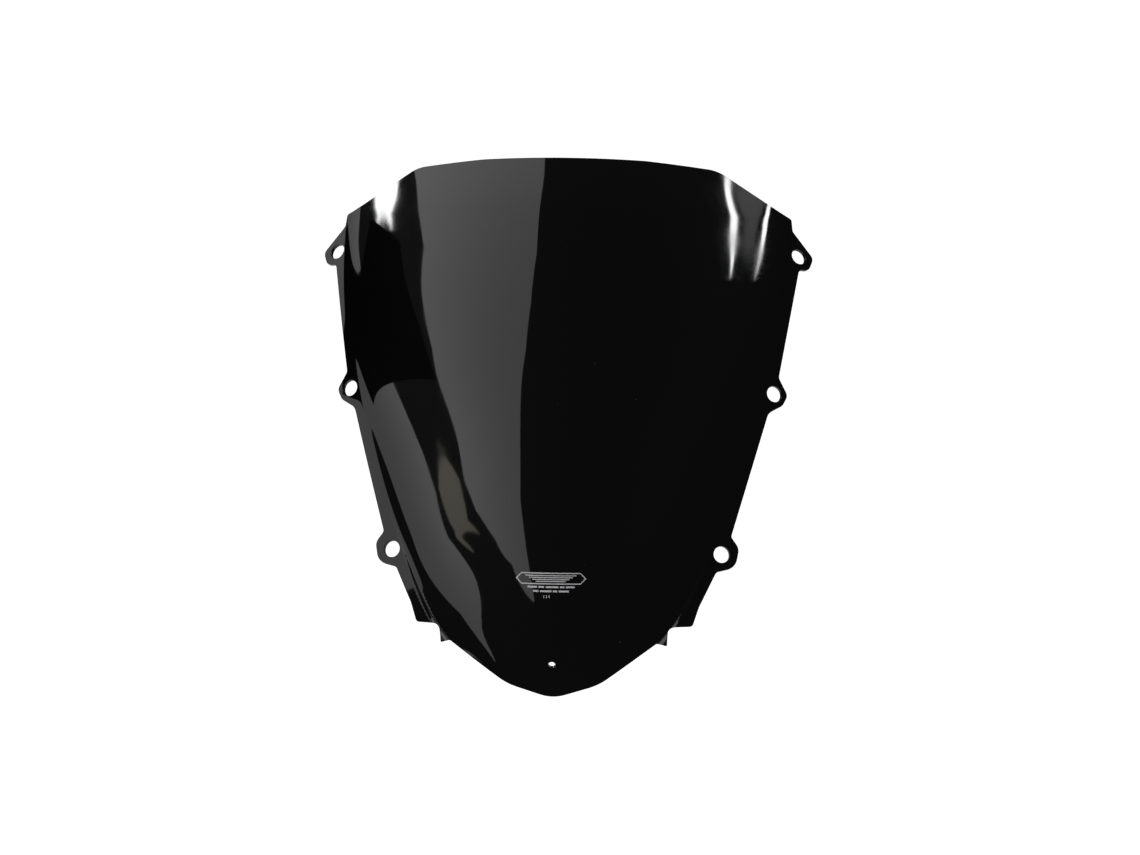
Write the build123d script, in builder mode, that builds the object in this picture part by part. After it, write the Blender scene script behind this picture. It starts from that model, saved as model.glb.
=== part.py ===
from build123d import *
import math
import os

# Motorcycle windshield screen: one sheet of black acrylic, thermoformed into a
# bubble, with six fixing ears on its side flanges and one screw hole at the nose.
#
# The sheet is laid out in its own chord frame, in millimetres:
#   across   to the left and right of the centre line (the world X axis)
#   chord    from the nose hole up towards the trailing edge
#   height   out of the screen, towards the front
# The chord leans back by RAKE, as the screen sits on the motorcycle. The origin
# is the centre of the nose hole on the outer face.

RAKE = 50.0
THICKNESS = 3.0

# Sheet shape at stations along the chord
STATIONS = (-30, 0, 30, 90, 150, 210, 270, 330, 390)
CREASE = (25, 50, 78, 112, 135.3, 153.3, 166.8, 171.8, 172.3)
SPINE = (-22, 0, 18, 42.7, 51.5, 45.1, 23, -14.7, -67.9)
WING = (-24, -10, -11, -35, -53, -76, -106, -140, -178)
FULLNESS = (2, 2, 2, 2, 1.95, 1.6, 1.42, 1.34, 1.3)
FLANGE_SLOPE = (0.3, 0.3, 0.3, 0.36, 0.46, 0.57, 0.66, 0.68, 0.68)
DOME_FOOT = 0.05
CREASE_BEND = 1.5
INNER_BEND = 5.0

# Step down from the pane to the flange, which grows from nothing towards the nose
STEP_TOP = 120.0
STEP_RUN = 90.0
STEP_HEIGHT = 4.2
BAND_MIN, BAND_GROWTH = 1.0, 11.0
RAMP_MIN, RAMP_GROWTH = 3.0, 3.0

# Fixing holes: (across, chord) of the three ears on one side
EAR_HOLES = {"upper": (175.7, 303.1), "mid": (157.6, 197.8), "lower": (120.3, 80)}
EAR_HOLE_RADIUS = 6.0
NOSE_HOLE_RADIUS = 2.5

# Half outline from the trailing edge to the nose: (across, chord, corner radius)
HALF_OUTLINE = (
    (60.1, 368.4, 90),
    (113.2, 365.7, 28),
    (170.4, 332.4, 3),
    (171.2, 323, 4),
    (187.3, 302.2, 6),
    (183.7, 292.9, 4),
    (176.2, 292.9, 2.5),
    (161, 210, 5),
    (167.9, 196.8, 6),
    (164, 189.2, 6),
    (153.5, 183.5, 7),
    (127.2, 92.7, 3),
    (133.2, 84.4, 8),
    (130.6, 70.5, 9),
    (116.8, 67.3, 3.5),
    (104.6, 42, 18),
    (100.1, 27.9, 3),
    (82.7, 27.4, 4.5),
    (82, 13.4, 0.8),
    (74.7, 15.8, 1.5),
    (33, -15.5, 45),
)
NOSE_TIP = (0, -25.8, 30)

# Printed marks low on the centre line
INK = 0.08
INK_GAP = 0.05
EMBLEM_CHORD = 63.5
EMBLEM_WIDTH, EMBLEM_HEIGHT, EMBLEM_FRAME = 50.0, 8.4, 0.8
STRIPE_COUNT, STRIPE_TOP, STRIPE_PITCH = 4, 2.1, 1.4
STRIPE_LENGTH, STRIPE_SHORTER, STRIPE_HEIGHT = 36.0, 5.0, 0.7
BAR_HEIGHT = 1.3
UPPER_BARS = (57.4, (7, 4, 9, 3, 6))
LOWER_BARS = (54.4, (4, 8, 3, 7))
BAR_GAP = 1.1
TICK_ACROSS, TICK_CHORD = -3.0, 50.5
TICK_WIDTH, TICK_LENGTH, TICK_PITCH, TICK_COUNT = 0.5, 2.2, 1.9, 3

# Cross-sections that the pane and the printed marks are lofted through
PANE_SECTIONS = (
    *(-34, -12, 10, 30, 45, 60, 75, 92, 112, 135),
    *(160, 185, 210, 235, 260, 285, 310, 335, 360, 384),
)
PRINT_SECTIONS = (42, 51, 60, 72)
PRINT_COLUMNS = (-36, -24, -12, 0, 12, 24, 36)
LOWEST, HIGHEST = -240.0, 80.0


def along(chord, values):
    """Smooth value at a chord position, through one value for each station."""
    pairs = list(zip(STATIONS, values))
    slopes = [(b[1] - a[1]) / (b[0] - a[0]) for a, b in zip(pairs, pairs[1:])]
    tangents = [(a + b) / 2 for a, b in zip([slopes[0]] + slopes, slopes + [slopes[-1]])]
    k = 0
    while k < len(STATIONS) - 2 and chord > STATIONS[k + 1]:
        k += 1
    span = STATIONS[k + 1] - STATIONS[k]
    f = (chord - STATIONS[k]) / span
    return (
        (1 + 2 * f) * (1 - f) ** 2 * values[k]
        + f * (1 - f) ** 2 * span * tangents[k]
        + f * f * (3 - 2 * f) * values[k + 1]
        + f * f * (f - 1) * span * tangents[k + 1]
    )


def soft_positive(x, softness):
    """x where it is positive and 0 where it is negative, with a rounded corner."""
    return (x + math.hypot(x, softness)) / 2


def ease(x):
    """0 to 1 with level ends."""
    x = min(max(x, 0), 1)
    return x * x * (3 - 2 * x)


def step_layout(chord):
    """Band width, ramp width and height of the step at a chord position."""
    low = max((STEP_TOP - chord) / STEP_TOP, 0)
    height = STEP_HEIGHT * ease((STEP_TOP - chord) / STEP_RUN)
    return BAND_MIN + BAND_GROWTH * low * low, RAMP_MIN + RAMP_GROWTH * low, height


def height_at(across, chord, bend=CREASE_BEND, stepped=True):
    """Height of the outer face over the chord plane."""
    across = abs(across)
    crease = along(chord, CREASE)
    wing = along(chord, WING)
    dome = soft_positive(1 - (across / crease) ** 2, DOME_FOOT) ** along(chord, FULLNESS)
    height = wing + (along(chord, SPINE) - wing) * dome
    height -= along(chord, FLANGE_SLOPE) * soft_positive(across - crease, bend)
    if stepped:
        band, ramp, step = step_layout(chord)
        height -= step * ease((across - crease - band) / ramp)
    return height


def place(across, chord, height):
    """World position of a point given in the chord frame."""
    rake = math.radians(RAKE)
    return Vector(
        across,
        chord * math.cos(rake) - height * math.sin(rake),
        chord * math.sin(rake) + height * math.cos(rake),
    )


def normal_at(across, chord, bend=INNER_BEND, stepped=False):
    """Outward normal of the sheet in the chord frame."""
    d = 0.2
    du = height_at(across + d, chord, bend, stepped) - height_at(across - d, chord, bend, stepped)
    dv = height_at(across, chord + d, bend, stepped) - height_at(across, chord - d, bend, stepped)
    return Vector(-du / (2 * d), -dv / (2 * d), 1).normalized()


def sheet_columns(chord):
    """Across positions of a cross-section, close together at the crease and the step."""
    crease = along(chord, CREASE)
    band, ramp, _ = step_layout(chord)
    step = crease + band
    half = [(crease - 5) * share for share in (0, 0.18, 0.36, 0.54, 0.72, 0.88, 1)]
    half += [crease + 1, step + ramp * 0.4, step + ramp + 1.5, step + ramp + 20]
    return [-x for x in reversed(half[1:])] + half


def section_points(chord, columns, depth):
    """Points of a cross-section at a depth below the outer face, in its own plane."""
    points = []
    for across in columns:
        drop = depth / normal_at(across, chord).Z
        points.append((across, height_at(across, chord) - drop))
    return points


def sheet_section(chord, columns, top, bottom):
    """Sketch of the sheet's cross-section between two depths."""
    with BuildSketch(section_plane(chord)) as section:
        with BuildLine():
            upper = Spline(*section_points(chord, columns, top))
            lower = Spline(*section_points(chord, columns, bottom))
            Line(upper @ 0, lower @ 0)
            Line(upper @ 1, lower @ 1)
        make_face()
    return section.sketch


def section_plane(chord):
    """Plane across the sheet at a chord position, with its Y out of the chord plane."""
    rake = math.radians(RAKE)
    down_chord = (0, -math.cos(rake), -math.sin(rake))
    return Plane(origin=place(0, chord, 0), x_dir=(1, 0, 0), z_dir=down_chord)


def chord_plane(height=0.0):
    """Plane of the chord frame, with its X across and its Y up the chord."""
    rake = math.radians(RAKE)
    normal = (0, -math.sin(rake), math.cos(rake))
    return Plane(origin=place(0, 0, height), x_dir=(1, 0, 0), z_dir=normal)


def normal_plane(across, chord):
    """Plane that touches the outer face, with its Z out of the sheet."""
    n = normal_at(across, chord, CREASE_BEND, True)
    touch = place(across, chord, height_at(across, chord))
    return Plane(origin=touch, z_dir=place(n.X, n.Y, n.Z))


def outline_corners():
    """Whole outline as corner points with radii, from one side to the other."""
    left = [(-x, y, r) for x, y, r in HALF_OUTLINE]
    return left + [NOSE_TIP] + list(reversed(HALF_OUTLINE))


# Pane: the lofted sheet, trimmed to its outline and drilled square to its surface
with BuildPart() as screen_pane:
    loft(sections=[sheet_section(x, sheet_columns(x), 0, THICKNESS) for x in PANE_SECTIONS])
    with BuildSketch(chord_plane(LOWEST)):
        with BuildLine():
            FilletPolyline(
                *[(x, y) for x, y, _ in outline_corners()],
                radius=[r for _, _, r in outline_corners()],
                close=True,
            )
        make_face()
    extrude(amount=HIGHEST - LOWEST, mode=Mode.INTERSECT, clean=False)
    for x, y in EAR_HOLES.values():
        for side in (-1, 1):
            with BuildSketch(normal_plane(side * x, y).offset(-3 * THICKNESS)):
                Circle(EAR_HOLE_RADIUS)
            extrude(amount=6 * THICKNESS, mode=Mode.SUBTRACT, clean=False)
    with BuildSketch(normal_plane(0, 0).offset(-3 * THICKNESS)):
        Circle(NOSE_HOLE_RADIUS)
    extrude(amount=6 * THICKNESS, mode=Mode.SUBTRACT, clean=False)


def ink_sections():
    """Cross-sections of a thin film just over the outer face."""
    return [sheet_section(x, PRINT_COLUMNS, -INK_GAP - INK, -INK_GAP) for x in PRINT_SECTIONS]


def emblem_corners(inset):
    """Corners of the emblem's six-sided frame, drawn in by an inset."""
    half_width, half_height = EMBLEM_WIDTH / 2 - 1.6 * inset, EMBLEM_HEIGHT / 2 - inset
    shoulder = EMBLEM_WIDTH / 2 - half_height - inset
    return [
        (-half_width, 0),
        (-shoulder, half_height),
        (shoulder, half_height),
        (half_width, 0),
        (shoulder, -half_height),
        (-shoulder, -half_height),
    ]


# Emblem: a slim six-sided frame with stripes inside it
with BuildPart() as emblem_print:
    loft(sections=ink_sections())
    with BuildSketch(chord_plane(LOWEST)):
        with Locations((0, EMBLEM_CHORD)):
            Polygon(*emblem_corners(0), align=None)
            Polygon(*emblem_corners(EMBLEM_FRAME), align=None, mode=Mode.SUBTRACT)
            for i in range(STRIPE_COUNT):
                width = STRIPE_LENGTH - i * STRIPE_SHORTER
                with Locations((0, STRIPE_TOP - i * STRIPE_PITCH)):
                    Rectangle(width, STRIPE_HEIGHT)
    extrude(amount=HIGHEST - LOWEST, mode=Mode.INTERSECT, clean=False)

# Approval lines: two rows of plain bars
with BuildPart() as approval_bars_print:
    loft(sections=ink_sections())
    with BuildSketch(chord_plane(LOWEST)):
        for chord, lengths in (UPPER_BARS, LOWER_BARS):
            start = -(sum(lengths) + BAR_GAP * (len(lengths) - 1)) / 2
            for length in lengths:
                with Locations((start + length / 2, chord)):
                    Rectangle(length, BAR_HEIGHT)
                start += length + BAR_GAP
    extrude(amount=HIGHEST - LOWEST, mode=Mode.INTERSECT, clean=False)

# Ticks: a short row of upright strokes
with BuildPart() as tick_print:
    loft(sections=ink_sections())
    with BuildSketch(chord_plane(LOWEST)):
        with Locations((TICK_ACROSS, TICK_CHORD)):
            with GridLocations(TICK_PITCH, 1, TICK_COUNT, 1):
                Rectangle(TICK_WIDTH, TICK_LENGTH)
    extrude(amount=HIGHEST - LOWEST, mode=Mode.INTERSECT, clean=False)

PIECES = {
    "screen_pane": screen_pane,
    "emblem_print": emblem_print,
    "approval_bars_print": approval_bars_print,
    "tick_print": tick_print,
}

os.makedirs("parts", exist_ok=True)
for label, piece in PIECES.items():
    piece.part.label = label
    export_step(piece.part, f"parts/{label}.step")
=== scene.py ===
import math

import bpy
import numpy as np
from mathutils import Matrix, Vector
from mathutils.geometry import delaunay_2d_cdt


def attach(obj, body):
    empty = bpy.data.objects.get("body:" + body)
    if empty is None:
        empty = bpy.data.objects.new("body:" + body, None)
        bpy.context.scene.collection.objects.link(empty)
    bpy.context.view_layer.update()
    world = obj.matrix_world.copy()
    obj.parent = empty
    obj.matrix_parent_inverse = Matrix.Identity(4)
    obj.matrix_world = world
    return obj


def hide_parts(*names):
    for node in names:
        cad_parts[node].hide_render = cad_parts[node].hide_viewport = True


# Motorcycle windshield screen in gloss-black acrylic. The sheet is laid out in its chord
# frame, in millimetres: across the screen, up the chord from the nose hole, and height out
# of the chord plane. The chord leans back by RAKE, and MM takes millimetres to metres.

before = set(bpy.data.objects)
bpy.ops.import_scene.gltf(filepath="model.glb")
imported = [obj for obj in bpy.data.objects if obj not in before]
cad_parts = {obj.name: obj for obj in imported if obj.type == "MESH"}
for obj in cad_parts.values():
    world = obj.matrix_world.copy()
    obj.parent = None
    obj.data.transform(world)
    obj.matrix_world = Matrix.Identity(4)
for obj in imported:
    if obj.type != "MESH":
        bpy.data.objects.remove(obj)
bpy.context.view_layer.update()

MM = 0.001
RAKE = math.radians(50)
THICKNESS = 3.0
EDGE_ROUND = 0.55

# Sheet shape at stations along the chord, as the CAD part has it
STATIONS = np.array([-30, 0, 30, 90, 150, 210, 270, 330, 390], float)
CREASE = (25, 50, 78, 112, 135.3, 153.3, 166.8, 171.8, 172.3)
SPINE = (-22, 0, 18, 42.7, 51.5, 45.1, 23, -14.7, -67.9)
WING = (-24, -10, -11, -35, -53, -76, -106, -140, -178)
FULLNESS = (2, 2, 2, 2, 1.95, 1.6, 1.42, 1.34, 1.3)
FLANGE_SLOPE = (0.3, 0.3, 0.3, 0.36, 0.46, 0.57, 0.66, 0.68, 0.68)
DOME_FOOT = 0.05
CREASE_BEND = 1.5
INNER_BEND = 5.0
STEP_TOP, STEP_RUN, STEP_HEIGHT = 120.0, 90.0, 4.2
BAND_MIN, BAND_GROWTH = 1.0, 11.0
RAMP_MIN, RAMP_GROWTH = 3.0, 3.0

EAR_HOLES = ((175.7, 303.1), (157.6, 197.8), (120.3, 80.0))
EAR_HOLE_RADIUS = 6.0
NOSE_HOLE_RADIUS = 2.5

# Half outline from the trailing edge to the nose: across, chord, corner radius
HALF_OUTLINE = (
    (60.1, 368.4, 90),
    (113.2, 365.7, 28),
    (170.4, 332.4, 3),
    (171.2, 323, 4),
    (187.3, 302.2, 6),
    (183.7, 292.9, 4),
    (176.2, 292.9, 2.5),
    (161, 210, 5),
    (167.9, 196.8, 6),
    (164, 189.2, 6),
    (153.5, 183.5, 7),
    (127.2, 92.7, 3),
    (133.2, 84.4, 8),
    (130.6, 70.5, 9),
    (116.8, 67.3, 3.5),
    (104.6, 42, 18),
    (100.1, 27.9, 3),
    (82.7, 27.4, 4.5),
    (82, 13.4, 0.8),
    (74.7, 15.8, 1.5),
    (33, -15.5, 45),
)
NOSE_TIP = (0, -25.8, 30)

# The pane's mesh, in millimetres: point spacing on the dome, by the crease and along the
# edges, where each kind of point starts or ends from the crease, and the strip left clear
# of them at the rims. RIM_ANGLES, in degrees, are those of the rings that round a rim.
COARSE, FINE = 2.4, 1.1
EDGE_SPACING, HOLE_SPACING = 1.2, 0.7
ROW_SHARE = 0.87
COARSE_END, FINE_START, FINE_END = -9, -8, 34
RIM_CLEARANCE = 0.6
RIM_ANGLES = (30, 60, 90)
SLOPE_PROBE = 0.15


def along(chord, values):
    """Smooth value at chord positions, through one value for each station."""
    values = np.asarray(values, float)
    tangents = np.gradient(values)
    slopes = np.diff(values) / np.diff(STATIONS)
    tangents[0], tangents[-1] = slopes[0], slopes[-1]
    tangents[1:-1] = (slopes[:-1] + slopes[1:]) / 2
    k = np.clip(np.searchsorted(STATIONS, chord, side="right") - 1, 0, len(STATIONS) - 2)
    span = STATIONS[k + 1] - STATIONS[k]
    f = (chord - STATIONS[k]) / span
    return (
        (1 + 2 * f) * (1 - f) ** 2 * values[k]
        + f * (1 - f) ** 2 * span * tangents[k]
        + f * f * (3 - 2 * f) * values[k + 1]
        + f * f * (f - 1) * span * tangents[k + 1]
    )


def soft_positive(x, softness):
    """x where it is positive and 0 where it is negative, with a rounded corner."""
    return (x + np.hypot(x, softness)) / 2


def ease(x):
    """0 to 1 with level ends."""
    x = np.clip(x, 0, 1)
    return x * x * (3 - 2 * x)


def height_at(across, chord, bend=CREASE_BEND, stepped=True):
    """Height of the outer face over the chord plane."""
    across = np.abs(across)
    crease = along(chord, CREASE)
    wing = along(chord, WING)
    dome = soft_positive(1 - (across / crease) ** 2, DOME_FOOT) ** along(chord, FULLNESS)
    height = wing + (along(chord, SPINE) - wing) * dome
    height = height - along(chord, FLANGE_SLOPE) * soft_positive(across - crease, bend)
    if stepped:
        low = np.maximum((STEP_TOP - chord) / STEP_TOP, 0)
        band, ramp = BAND_MIN + BAND_GROWTH * low * low, RAMP_MIN + RAMP_GROWTH * low
        step = STEP_HEIGHT * ease((STEP_TOP - chord) / STEP_RUN)
        height = height - step * ease((across - crease - band) / ramp)
    return height


def normals_at(flat, bend=CREASE_BEND, stepped=True):
    """Outward normals of the sheet at points (across, chord)."""
    x, y, d = flat[:, 0], flat[:, 1], SLOPE_PROBE
    du = (height_at(x + d, y, bend, stepped) - height_at(x - d, y, bend, stepped)) / (2 * d)
    dv = (height_at(x, y + d, bend, stepped) - height_at(x, y - d, bend, stepped)) / (2 * d)
    n = np.stack([-du, -dv, np.ones_like(du)], 1)
    return n / np.linalg.norm(n, axis=1)[:, None]


def lifted(flat):
    """Points of the outer face over points (across, chord)."""
    return np.column_stack([flat, height_at(flat[:, 0], flat[:, 1])])


def to_world(points):
    """World directions or positions of points in the chord frame, without scaling."""
    x, y, z = points[:, 0], points[:, 1], points[:, 2]
    c, s = math.cos(RAKE), math.sin(RAKE)
    return np.stack([x, y * c - z * s, y * s + z * c], 1)


def rounded_outline(corners):
    """Closed polygon with an arc at each corner, as evenly spaced points."""
    path = []
    count = len(corners)
    for i, (x, y, r) in enumerate(corners):
        here = np.array([x, y], float)
        before = np.array(corners[i - 1][:2], float) - here
        after = np.array(corners[(i + 1) % count][:2], float) - here
        before /= np.linalg.norm(before)
        after /= np.linalg.norm(after)
        half = math.acos(np.clip(before @ after, -1, 1)) / 2
        reach = r / math.tan(half)
        middle = (before + after) / np.linalg.norm(before + after)
        centre = here + middle * r / math.sin(half)
        a, b = here + before * reach - centre, here + after * reach - centre
        sweep = math.pi - 2 * half
        steps = max(2, int(math.ceil(r * sweep / EDGE_SPACING)))
        for k in range(steps + 1):
            f = k / steps
            path.append(
                centre + (a * math.sin((1 - f) * sweep) + b * math.sin(f * sweep)) / math.sin(sweep)
            )
    filled = []
    for i, p in enumerate(path):
        q = path[(i + 1) % len(path)]
        steps = max(1, int(math.ceil(np.linalg.norm(q - p) / EDGE_SPACING)))
        filled += [p + (q - p) * k / steps for k in range(steps)]
    return np.array(filled)


def hole_loop(across, chord, radius):
    """A drilled hole's rim on the outer face, seen in the chord plane."""
    n = normals_at(np.array([[across, chord]], float))[0]
    first = np.cross([0, 1, 0], n)
    first /= np.linalg.norm(first)
    second = np.cross(n, first)
    turn = np.linspace(0, 2 * math.pi, int(2 * math.pi * radius / HOLE_SPACING), endpoint=False)
    ring = radius * (np.outer(np.cos(turn), first) + np.outer(np.sin(turn), second))
    return np.array([across, chord]) + ring[::-1, :2]


def loop_outward(loop):
    """Unit directions out of the material along a closed loop that has it on one side."""
    ahead = np.roll(loop, -1, 0) - np.roll(loop, 1, 0)
    out = np.stack([ahead[:, 1], -ahead[:, 0]], 1)
    return out / np.linalg.norm(out, axis=1)[:, None]


def signed_area(loop):
    x, y = loop[:, 0], loop[:, 1]
    return 0.5 * np.sum(x * np.roll(y, -1) - y * np.roll(x, -1))


def pane_loops():
    """Rims of the pane's faces, each with the material on its left."""
    left = [(-x, y, r) for x, y, r in HALF_OUTLINE]
    outline = rounded_outline(left + [NOSE_TIP] + list(reversed(HALF_OUTLINE)))
    if signed_area(outline) < 0:
        outline = outline[::-1]
    holes = [hole_loop(side * x, y, EAR_HOLE_RADIUS) for x, y in EAR_HOLES for side in (-1, 1)]
    holes.append(hole_loop(0, 0, NOSE_HOLE_RADIUS))
    holes = [h if signed_area(h) < 0 else h[::-1] for h in holes]
    loops = [outline] + holes
    return [loop - EDGE_ROUND * loop_outward(loop) for loop in loops]


def inner_points(loops):
    """Points that fill the pane: wide apart on the dome, close at the crease and step."""
    bottom, top = loops[0][:, 1].min(), loops[0][:, 1].max()
    points = []
    for spacing in (COARSE, FINE):
        row, shifted = bottom + spacing, 0
        while row < top:
            crease = float(along(np.array([row]), CREASE)[0])
            if spacing == COARSE:
                start, end = 0, crease + COARSE_END
            else:
                start, end = max(crease + FINE_START, RIM_CLEARANCE), crease + FINE_END
            for x in np.arange(start + shifted * spacing / 2, end, spacing):
                points += [(x, row), (-x, row)] if x > 0 else [(x, row)]
            row, shifted = row + spacing * ROW_SHARE, 1 - shifted
    points = np.array(points)
    points = points[inside(points, loops)]
    return points[~near_rim(points, loops)]


def inside(points, loops):
    """True for the points within the outline and outside the holes, by the even-odd rule."""
    result = np.zeros(len(points), bool)
    order = np.argsort(points[:, 1])
    rows = points[order, 1]
    for loop in loops:
        for (a, b), (c, d) in zip(loop, np.roll(loop, -1, 0)):
            lo, hi = np.searchsorted(rows, (min(b, d), max(b, d)))
            if hi > lo:
                picked = order[lo:hi]
                crossing = a + (points[picked, 1] - b) * (c - a) / (d - b)
                result[picked[points[picked, 0] < crossing]] ^= True
    return result


def near_rim(points, loops):
    """True for the points that lie closer to a rim's points than the clear strip."""
    rims = np.concatenate(loops)
    rims = rims[np.argsort(rims[:, 1])]
    result = np.zeros(len(points), bool)
    for i, p in enumerate(points):
        lo, hi = np.searchsorted(rims[:, 1], (p[1] - RIM_CLEARANCE, p[1] + RIM_CLEARANCE))
        if hi > lo:
            result[i] = (np.abs(rims[lo:hi] - p).max(1) < RIM_CLEARANCE).any()
    return result


def triangulate(loops):
    """Flat points of the pane, the indices of each loop's points, and the triangles."""
    flat = [inner_points(loops)]
    edges, rims, start = [], [], len(flat[0])
    for loop in loops:
        index = np.arange(start, start + len(loop))
        edges += list(zip(index.tolist(), np.roll(index, -1).tolist()))
        rims.append(index)
        flat.append(loop)
        start += len(loop)
    flat = np.concatenate(flat)
    result = delaunay_2d_cdt([Vector(p) for p in flat], edges, [], 0, 1e-5)
    if len(result[0]) != len(flat):
        raise ValueError("the pane's outline crosses itself")
    triangles = np.array([f for f in result[2] if len(f) == 3])
    triangles = triangles[inside(flat[triangles].mean(1), loops)]
    a, b, c = (flat[triangles[:, i]] for i in range(3))
    turned = (b[:, 0] - a[:, 0]) * (c[:, 1] - a[:, 1]) - (b[:, 1] - a[:, 1]) * (c[:, 0] - a[:, 0])
    triangles[turned < 0] = triangles[turned < 0][:, ::-1]
    return flat, rims, triangles


def rounded_rim(top, bottom):
    """Rings of points, with their normals, that round a rim from its top to its bottom."""
    through = top - bottom
    through /= np.linalg.norm(through, axis=1)[:, None]
    out = np.cross(np.roll(top, -1, 0) - np.roll(top, 1, 0), through)
    out /= np.linalg.norm(out, axis=1)[:, None]
    rings = []
    for base, up, angles in ((top, 1, RIM_ANGLES), (bottom, -1, RIM_ANGLES[::-1])):
        for angle in np.radians(angles):
            direction = up * math.cos(angle) * through + math.sin(angle) * out
            rings.append((base - up * EDGE_ROUND * through + EDGE_ROUND * direction, direction))
    return rings


def build_pane():
    """The formed sheet: outer and inner faces on one triangulation, with rounded rims."""
    flat, rims, triangles = triangulate(pane_loops())
    smooth_normal = normals_at(flat, INNER_BEND, False)
    outer = lifted(flat)
    inner = outer - THICKNESS * smooth_normal
    points, normals = [outer, inner], [normals_at(flat), -smooth_normal]
    count = len(flat)
    faces = triangles.tolist() + (triangles[:, ::-1] + count).tolist()
    total = 2 * count
    for index in rims:
        chain = [index]
        for ring, ring_normals in rounded_rim(outer[index], inner[index]):
            points.append(ring)
            normals.append(ring_normals)
            chain.append(np.arange(total, total + len(index)))
            total += len(index)
        chain.append(index + count)
        for upper, lower in zip(chain, chain[1:]):
            faces += np.stack([upper, lower, np.roll(lower, -1), np.roll(upper, -1)], 1).tolist()
    return np.concatenate(points), np.concatenate(normals), faces


def make_object(name, points, faces, normals):
    """A smooth mesh object from points and normals in the chord frame."""
    mesh = bpy.data.meshes.new(name)
    mesh.from_pydata((to_world(points) * MM).tolist(), [], faces)
    mesh.polygons.foreach_set("use_smooth", [True] * len(mesh.polygons))
    mesh.update()
    world = to_world(normals)
    world /= np.linalg.norm(world, axis=1)[:, None]
    mesh.normals_split_custom_set_from_vertices(world.tolist())
    obj = bpy.data.objects.new(name, mesh)
    bpy.context.scene.collection.objects.link(obj)
    return obj


# Materials

def new_material(name):
    material = bpy.data.materials.new(name)
    material.use_nodes = True
    tree = material.node_tree
    return material, tree, tree.nodes["Principled BSDF"]


def link(tree, a, b):
    tree.links.new(a, b)


def object_texture(tree, kind, scale):
    """A texture node laid out in the object's own coordinates."""
    place = tree.nodes.new("ShaderNodeTexCoord")
    texture = tree.nodes.new(kind)
    texture.inputs["Scale"].default_value = scale
    link(tree, place.outputs["Object"], texture.inputs["Vector"])
    return texture


def black_acrylic():
    """Opaque gloss-black acrylic with a faint forming ripple, uneven polish and dust specks."""
    material, tree, bsdf = new_material("black_acrylic")
    bsdf.inputs["IOR"].default_value = 1.49

    handling = object_texture(tree, "ShaderNodeTexNoise", 35)
    handling.inputs["Detail"].default_value = 4
    gloss = tree.nodes.new("ShaderNodeMapRange")
    gloss.inputs["From Min"].default_value = 0.35
    gloss.inputs["From Max"].default_value = 0.75
    gloss.inputs["To Min"].default_value = 0.025
    gloss.inputs["To Max"].default_value = 0.06
    link(tree, handling.outputs["Fac"], gloss.inputs["Value"])
    link(tree, gloss.outputs["Result"], bsdf.inputs["Roughness"])

    specks = object_texture(tree, "ShaderNodeTexVoronoi", 45)
    dust = tree.nodes.new("ShaderNodeValToRGB")
    dust.color_ramp.interpolation = "CONSTANT"
    dust.color_ramp.elements[0].color = (0.03, 0.03, 0.03, 1)
    dust.color_ramp.elements[1].position = 0.02
    dust.color_ramp.elements[1].color = (0.0022, 0.0022, 0.0024, 1)
    link(tree, specks.outputs["Distance"], dust.inputs["Fac"])
    link(tree, dust.outputs["Color"], bsdf.inputs["Base Color"])

    ripple = object_texture(tree, "ShaderNodeTexNoise", 14)
    ripple.inputs["Detail"].default_value = 1
    bump = tree.nodes.new("ShaderNodeBump")
    bump.inputs["Strength"].default_value = 0.06
    bump.inputs["Distance"].default_value = 0.0012
    link(tree, ripple.outputs["Fac"], bump.inputs["Height"])
    link(tree, bump.outputs["Normal"], bsdf.inputs["Normal"])
    return material


def silver_ink():
    """Silver-grey screen-printing ink, satin, slightly uneven."""
    material, tree, bsdf = new_material("silver_ink")
    bsdf.inputs["Roughness"].default_value = 0.45
    grain = object_texture(tree, "ShaderNodeTexNoise", 900)
    tone = tree.nodes.new("ShaderNodeValToRGB")
    tone.color_ramp.elements[0].color = (0.30, 0.30, 0.31, 1)
    tone.color_ramp.elements[1].color = (0.62, 0.62, 0.63, 1)
    link(tree, grain.outputs["Fac"], tone.inputs["Fac"])
    link(tree, tone.outputs["Color"], bsdf.inputs["Base Color"])
    return material


points, normals, faces = build_pane()
pane = make_object("formed_pane", points, faces, normals)
pane.data.materials.append(black_acrylic())
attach(pane, "root")
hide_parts("screen_pane")

ink = silver_ink()
for name in ("emblem_print", "approval_bars_print", "tick_print"):
    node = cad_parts[name]
    node.data.materials.clear()
    node.data.materials.append(ink)


# Camera: square to the chord plane, a little to the rider's left of the centre plane

CAMERA_DISTANCE = 2000.0
CAMERA_AIM = (0.0, 155.0, 0.0)
CAMERA_YAW = math.radians(3.065)
CAMERA_ROLL = math.radians(0.89)
SENSOR_WIDTH, LENS = 36, 88.336
SHIFT_ACROSS, SHIFT_UP = 0.013018, 0.018447


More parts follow.
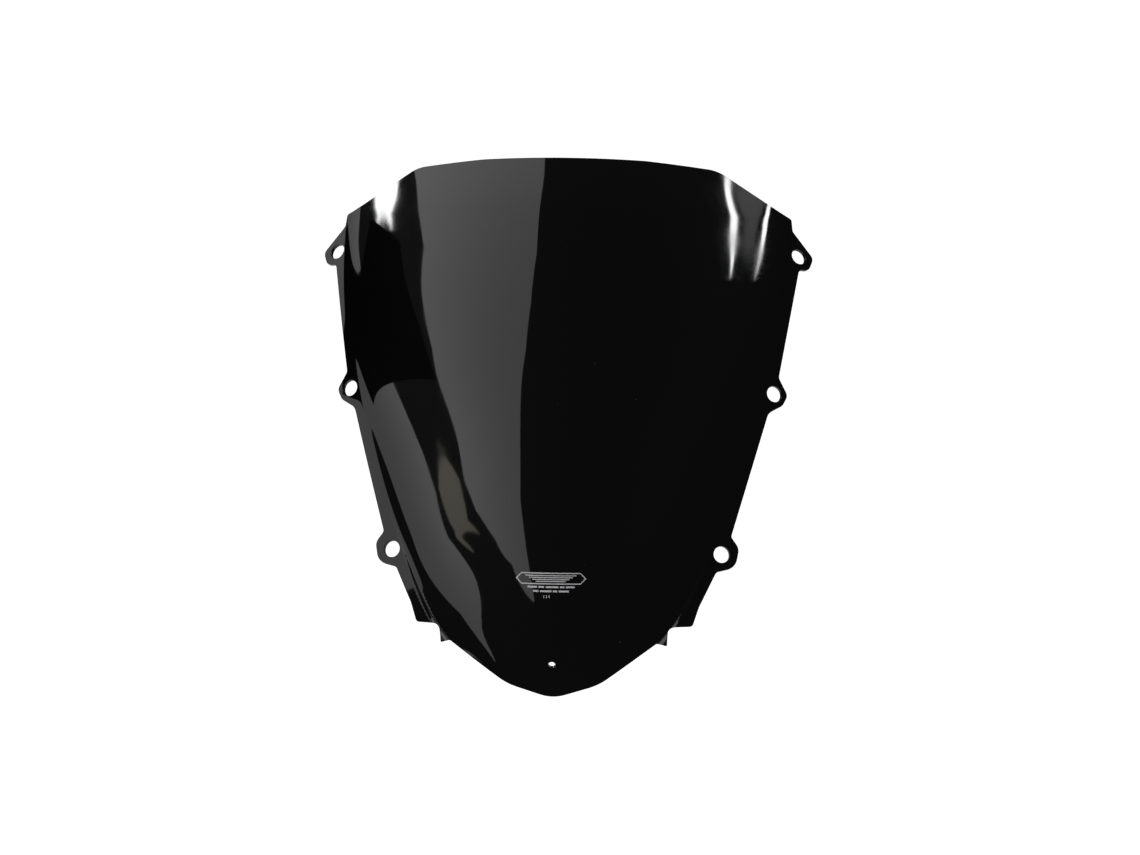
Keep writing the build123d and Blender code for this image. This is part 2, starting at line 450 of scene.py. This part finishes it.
def make_camera():
    back = np.array([math.sin(CAMERA_YAW), 0, math.cos(CAMERA_YAW)])
    right = np.array([math.cos(CAMERA_YAW), 0, -math.sin(CAMERA_YAW)])
    up = np.cross(back, right)
    c, s = math.cos(CAMERA_ROLL), math.sin(CAMERA_ROLL)
    axes = np.stack([c * right + s * up, c * up - s * right, back])
    axes = to_world(axes)
    place = to_world(np.array([CAMERA_AIM]) + back * CAMERA_DISTANCE)[0] * MM
    data = bpy.data.cameras.new("camera")
    data.sensor_width, data.lens = SENSOR_WIDTH, LENS
    data.shift_x, data.shift_y = SHIFT_ACROSS, SHIFT_UP
    data.clip_start, data.clip_end = 0.05, 60
    camera = bpy.data.objects.new("camera", data)
    matrix = Matrix(axes.T.tolist()).to_4x4()
    matrix.translation = Vector(place)
    camera.matrix_world = matrix
    bpy.context.scene.collection.objects.link(camera)
    bpy.context.scene.camera = camera


make_camera()


# Light: glowing cards round the screen, in metres, which the camera sees only as
# reflections. Left and right in their names are the camera's.

SOFTBOX, AMBER, GLINT, GLOW, UNDER = 1.15, 0.9, 16, 0.7, 0.8
AMBER_COLOUR = (1, 0.95, 0.78)
SIDE, END, FLAG_SIDE, UNDER_LEVEL = 0.6, 1.25, 0.19, -0.45


def card(name, corners, strength, colour=(1, 1, 1)):
    """A flat glowing card with its corners in the world."""
    mesh = bpy.data.meshes.new(name)
    mesh.from_pydata(corners, [], [list(range(len(corners)))])
    material = bpy.data.materials.new(name)
    material.use_nodes = True
    tree = material.node_tree
    tree.nodes.clear()
    glow = tree.nodes.new("ShaderNodeEmission")
    glow.inputs["Color"].default_value = (*colour, 1)
    glow.inputs["Strength"].default_value = strength
    out = tree.nodes.new("ShaderNodeOutputMaterial")
    link(tree, glow.outputs["Emission"], out.inputs["Surface"])
    mesh.materials.append(material)
    obj = bpy.data.objects.new(name, mesh)
    bpy.context.scene.collection.objects.link(obj)
    obj.visible_camera = False


def side_card(name, across, outline, strength, colour=(1, 1, 1)):
    """A card parallel to the centre plane, with its outline as (chord, height)."""
    corners = np.array([(across, v, w) for v, w in outline])
    card(name, to_world(corners).tolist(), strength, colour)


def end_card(name, chord, outline, strength):
    """A card square to the chord, with its outline as (across, height)."""
    corners = np.array([(u, chord, w) for u, w in outline])
    card(name, to_world(corners).tolist(), strength)


# The two softboxes make the wide band, the drop shape beside it and the grey left flange
side_card(
    "left_softbox",
    -SIDE,
    (
        (1.25, -0.60),
        (0.755, -0.35),
        (0.561, -0.215),
        (0.40, -0.165),
        (0.297, -0.135),
        (0.139, -0.122),
        (0.06, -0.112),
        (0.0, -0.075),
        (-0.06, -0.01),
        (-0.241, 0.2),
        (-0.96, 0.71),
        (-0.95, 0.722),
        (-0.348, 0.474),
        (-0.064, 0.404),
        (0.127, 0.465),
        (0.749, 0.713),
        (1.25, 0.77),
    ),
    SOFTBOX,
)
end_card(
    "top_softbox",
    END,
    ((-0.6, -0.6), (-0.15, -0.25), (-0.19, -0.05), (-0.26, 0.15), (-0.35, 0.40), (-0.6, 0.77)),
    SOFTBOX,
)

# A small warm lamp makes the sliver between the band and the drop shape
side_card(
    "amber_lamp",
    -SIDE,
    (
        (0.113, -0.160),
        (0.063, -0.126),
        (-0.011, -0.104),
        (-0.056, -0.058),
        (-0.02, -0.116),
        (0.037, -0.145),
        (0.085, -0.160),
    ),
    AMBER,
    AMBER_COLOUR,
)

# Bright strips make the V marks high on both wings
side_card("left_glint", -SIDE, ((0.552, -0.286), (0.76, -0.378), (0.76, -0.389), (0.63, -0.331)), GLINT)
side_card("left_glint_inner", -SIDE, ((0.61, -0.332), (0.80, -0.42), (0.80, -0.6), (0.61, -0.45)), GLINT)
side_card("right_glint", SIDE, ((0.47, -0.184), (0.82, -0.313), (0.82, -0.322), (0.60, -0.241)), GLINT)
side_card("right_glint_inner", SIDE, ((0.66, -0.290), (0.85, -0.38), (0.85, -0.6), (0.66, -0.45)), GLINT)
side_card("right_glow", SIDE, ((0.48, -0.200), (0.82, -0.333), (0.82, -0.6), (0.48, -0.40)), GLOW)

# A black flag keeps the left softbox off the outer part of the left wing
side_card(
    "left_flag",
    -FLAG_SIDE,
    ((0.205, -0.066), (0.30, -0.110), (0.35, -0.135), (0.34, -0.105), (0.26, -0.055), (0.205, -0.034)),
    0,
)

# A soft card level under the screen gives its inner face something to reflect
under_corners = ((-0.8, -0.35), (0.8, -0.35), (0.8, 1.3), (-0.8, 1.3))
card("under_softbox", [(x, y, UNDER_LEVEL) for x, y in under_corners], UNDER)

LAMP_DISTANCE, LAMP_SIZE, LAMP_ENERGY = 1.8, 1.0, 20
FLOOR_LEVEL, FLOOR_HALF = -1.6, 8
STUDIO_DARK = (0.045, 0.045, 0.047, 1)


def front_lamp():
    """A broad lamp by the camera that lights the ink and leaves no reflection."""
    data = bpy.data.lights.new("front_lamp", "AREA")
    data.energy = LAMP_ENERGY
    data.shape = "DISK"
    data.size = LAMP_SIZE
    lamp = bpy.data.objects.new("front_lamp", data)
    back = Vector(to_world(np.array([[0.0, 0.0, 1.0]]))[0])
    lamp.location = back * LAMP_DISTANCE
    lamp.rotation_euler = back.to_track_quat("Z", "Y").to_euler()
    lamp.visible_glossy = False
    bpy.context.scene.collection.objects.link(lamp)


front_lamp()


def make_floor():
    """A white floor, well below the screen, that only the camera sees."""
    mesh = bpy.data.meshes.new("floor")
    signs = ((-1, -1), (1, -1), (1, 1), (-1, 1))
    corners = [(x * FLOOR_HALF, y * FLOOR_HALF, FLOOR_LEVEL) for x, y in signs]
    mesh.from_pydata(corners, [], [(0, 1, 2, 3)])
    material, tree, bsdf = new_material("pale_floor")
    bsdf.inputs["Base Color"].default_value = (0.85, 0.85, 0.85, 1)
    bsdf.inputs["Roughness"].default_value = 0.9
    bsdf.inputs["Emission Color"].default_value = (1, 1, 1, 1)
    bsdf.inputs["Emission Strength"].default_value = 1
    mesh.materials.append(material)
    floor = bpy.data.objects.new("floor", mesh)
    bpy.context.scene.collection.objects.link(floor)
    floor.visible_glossy = False
    floor.visible_diffuse = False


make_floor()


def make_world():
    """White to the camera and nearly black to everything else, as in a dark studio."""
    world = bpy.data.worlds.new("studio")
    world.use_nodes = True
    tree = world.node_tree
    tree.nodes.clear()
    path = tree.nodes.new("ShaderNodeLightPath")
    seen = tree.nodes.new("ShaderNodeBackground")
    seen.inputs["Color"].default_value = (1, 1, 1, 1)
    dark = tree.nodes.new("ShaderNodeBackground")
    dark.inputs["Color"].default_value = STUDIO_DARK
    mix = tree.nodes.new("ShaderNodeMixShader")
    out = tree.nodes.new("ShaderNodeOutputWorld")
    link(tree, path.outputs["Is Camera Ray"], mix.inputs["Fac"])
    link(tree, dark.outputs["Background"], mix.inputs[1])
    link(tree, seen.outputs["Background"], mix.inputs[2])
    link(tree, mix.outputs["Shader"], out.inputs["Surface"])
    bpy.context.scene.world = world


make_world()
bpy.context.scene.view_settings.view_transform = "Standard"
